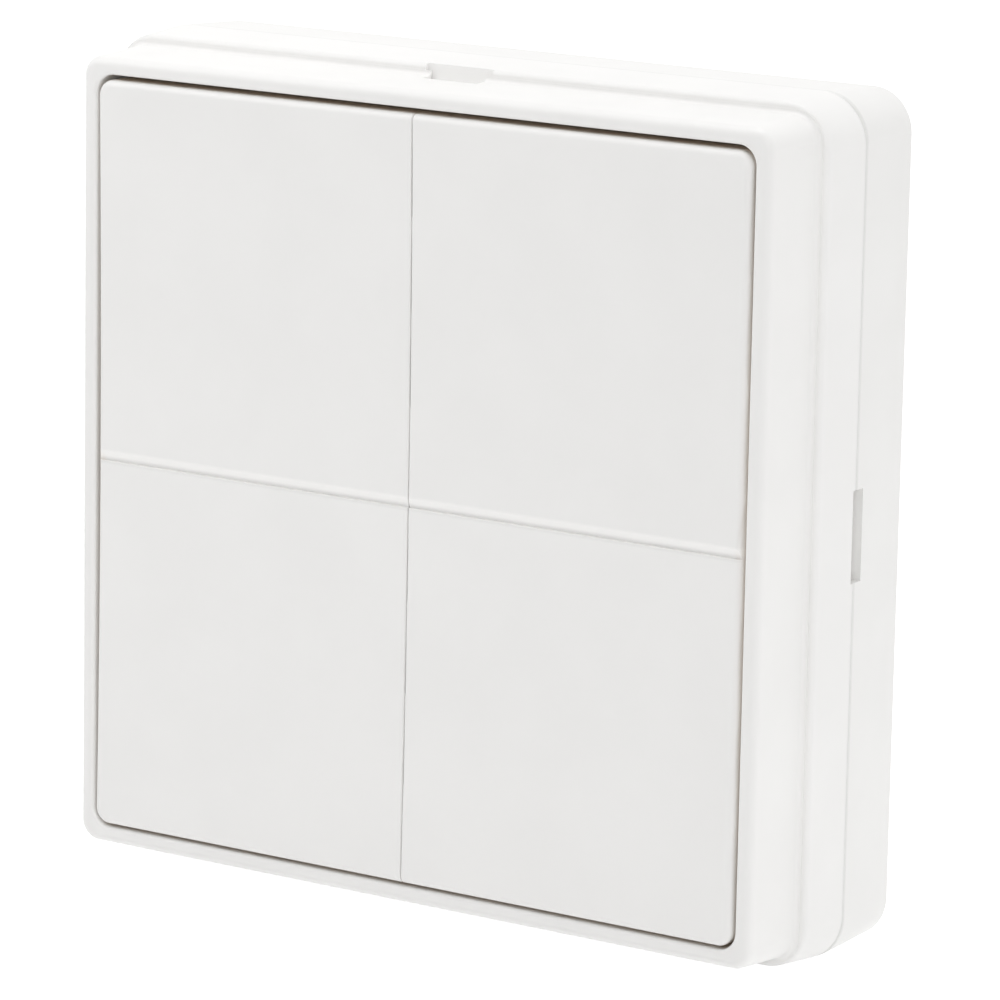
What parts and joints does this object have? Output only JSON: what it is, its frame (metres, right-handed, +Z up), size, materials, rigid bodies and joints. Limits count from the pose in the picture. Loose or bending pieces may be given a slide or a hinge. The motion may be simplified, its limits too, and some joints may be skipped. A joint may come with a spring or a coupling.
{
  "type": "wireless wall switch",
  "caption": "Square surface-mounted battery radio wall switch with two side-by-side rockers, each pressed at its upper or lower half.",
  "frame": {"origin": "centre of the flat back face, which lies on the wall", "axes": "+Z up, +Y into the wall, +X to the right as seen by someone facing the switch; the rockers face -Y"},
  "size_m": [0.0842, 0.0232, 0.0842],
  "materials": {
    "shell_plastic": "satin moulded",
    "rocker_plastic": "satin moulded",
    "inner_plastic": "matt moulded",
    "board": "solder mask",
    "black_plastic": "matt moulded",
    "plunger_plastic": "satin moulded",
    "sheet_metal": "tinned",
    "cell_steel": "polished",
    "screw_steel": "zinc plated",
    "capacitor_can": "bright",
    "wire_jacket": "smooth jacket"
  },
  "bodies": {
    "housing": {"back_box": "shell_plastic", "carrier_frame": "shell_plastic", "front_frame": "shell_plastic", "rear_cover": "inner_plastic", "cover_screws": "screw_steel", "coin_cell": "cell_steel", "cell_holder": "black_plastic", "contact_positive": "sheet_metal", "contact_negative": "sheet_metal", "circuit_board": "board", "radio_board": "board", "radio_shield": "sheet_metal", "antenna_wire": "wire_jacket", "storage_capacitor": "capacitor_can", "microcontroller": "black_plastic", "crystal_can": "sheet_metal", "switch_body_lower_left": "black_plastic", "switch_body_lower_right": "black_plastic", "switch_body_upper_left": "black_plastic", "switch_body_upper_right": "black_plastic"},
    "rocker_left": {"rocker_left": "rocker_plastic"},
    "rocker_right": {"rocker_right": "rocker_plastic"},
    "switch_plunger_lower_left": {"switch_plunger_lower_left": "plunger_plastic"},
    "switch_plunger_lower_right": {"switch_plunger_lower_right": "plunger_plastic"},
    "switch_plunger_upper_left": {"switch_plunger_upper_left": "plunger_plastic"},
    "switch_plunger_upper_right": {"switch_plunger_upper_right": "plunger_plastic"}
  },
  "joints": [
    {"name": "rocker_left_tilt", "type": "hinge", "parent": "housing", "child": "rocker_left", "pos_m": [-0.01902, -0.0182, 0], "axis": [1, 0, 0], "range_deg": [-1.5, 1.5], "stiffness_Nm_per_rad": 0.8},
    {"name": "rocker_right_tilt", "type": "hinge", "parent": "housing", "child": "rocker_right", "pos_m": [0.01902, -0.0182, 0], "axis": [1, 0, 0], "range_deg": [-1.5, 1.5], "stiffness_Nm_per_rad": 0.8},
    {"name": "plunger_lower_left_slide", "type": "slide", "parent": "housing", "child": "switch_plunger_lower_left", "axis": [0, 1, 0], "range_m": [-0.0006, 0.0006]},
    {"name": "plunger_lower_right_slide", "type": "slide", "parent": "housing", "child": "switch_plunger_lower_right", "axis": [0, 1, 0], "range_m": [-0.0006, 0.0006]},
    {"name": "plunger_upper_left_slide", "type": "slide", "parent": "housing", "child": "switch_plunger_upper_left", "axis": [0, 1, 0], "range_m": [-0.0006, 0.0006]},
    {"name": "plunger_upper_right_slide", "type": "slide", "parent": "housing", "child": "switch_plunger_upper_right", "axis": [0, 1, 0], "range_m": [-0.0006, 0.0006]}
  ],
  "couplings": [
    {"joint": "plunger_lower_left_slide", "follows": "rocker_left_tilt", "m_per_rad": 0.022},
    {"joint": "plunger_lower_right_slide", "follows": "rocker_right_tilt", "m_per_rad": 0.022},
    {"joint": "plunger_upper_left_slide", "follows": "rocker_left_tilt", "m_per_rad": -0.022},
    {"joint": "plunger_upper_right_slide", "follows": "rocker_right_tilt", "m_per_rad": -0.022}
  ]
}
